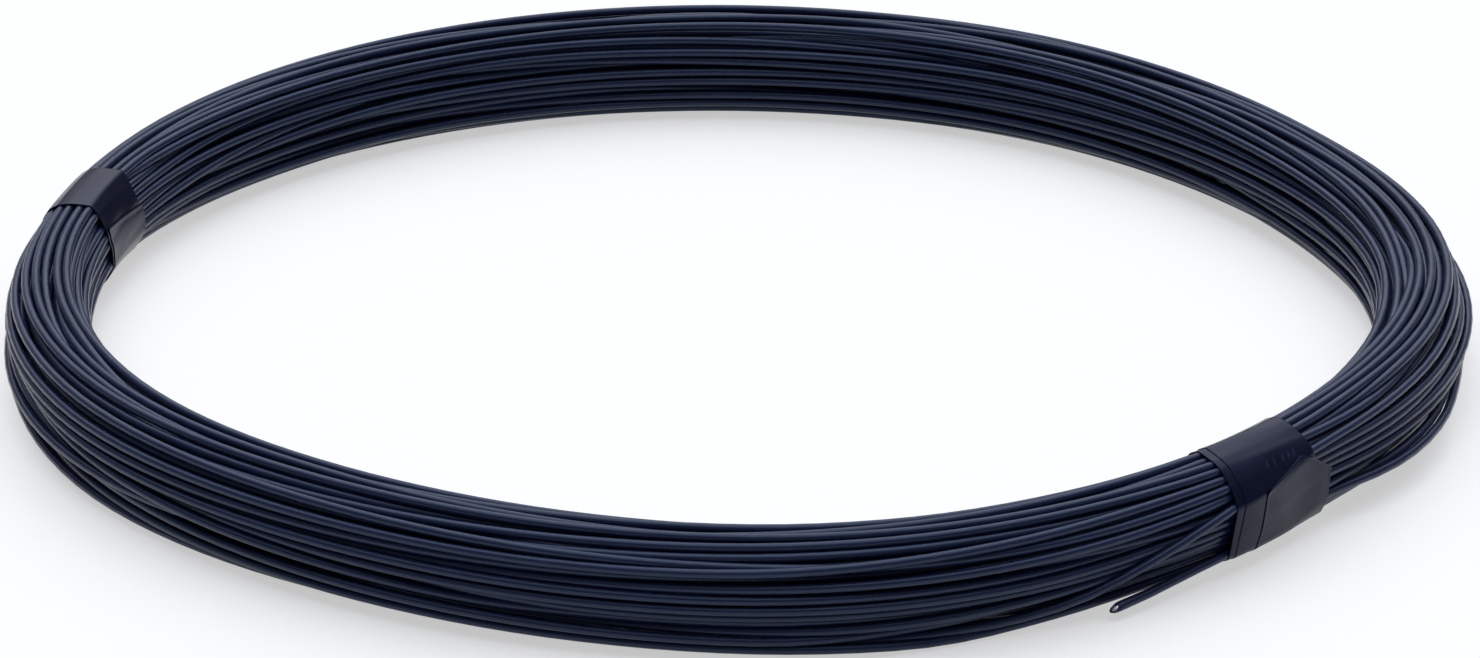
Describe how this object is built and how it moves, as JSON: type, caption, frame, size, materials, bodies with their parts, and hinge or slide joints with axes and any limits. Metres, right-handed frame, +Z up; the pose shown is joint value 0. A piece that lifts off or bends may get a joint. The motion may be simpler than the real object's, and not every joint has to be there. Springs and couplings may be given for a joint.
{
  "type": "coil of coated wire",
  "caption": "Flat-lying coil of plastic-coated steel fence wire, its turns gathered by wraps of adhesive tape, with a cut free end standing clear.",
  "frame": {"origin": "on the coil's axis, on the plane that the coil lies on", "axes": "+Z up along the coil's axis; azimuth 0 is +X, and the tape with the free end is at the front right, between +X and -Y"},
  "size_m": [0.5, 0.5, 0.041],
  "materials": {
    "coated_wire": "satin dark blue-grey plastic coating on steel wire",
    "binding_tape": "smooth dark plastic adhesive tape with a soft gloss"
  },
  "bodies": {
    "root": {"wire_coil": "coated_wire", "tape_front": "binding_tape", "tape_back": "binding_tape"}
  },
  "joints": []
}
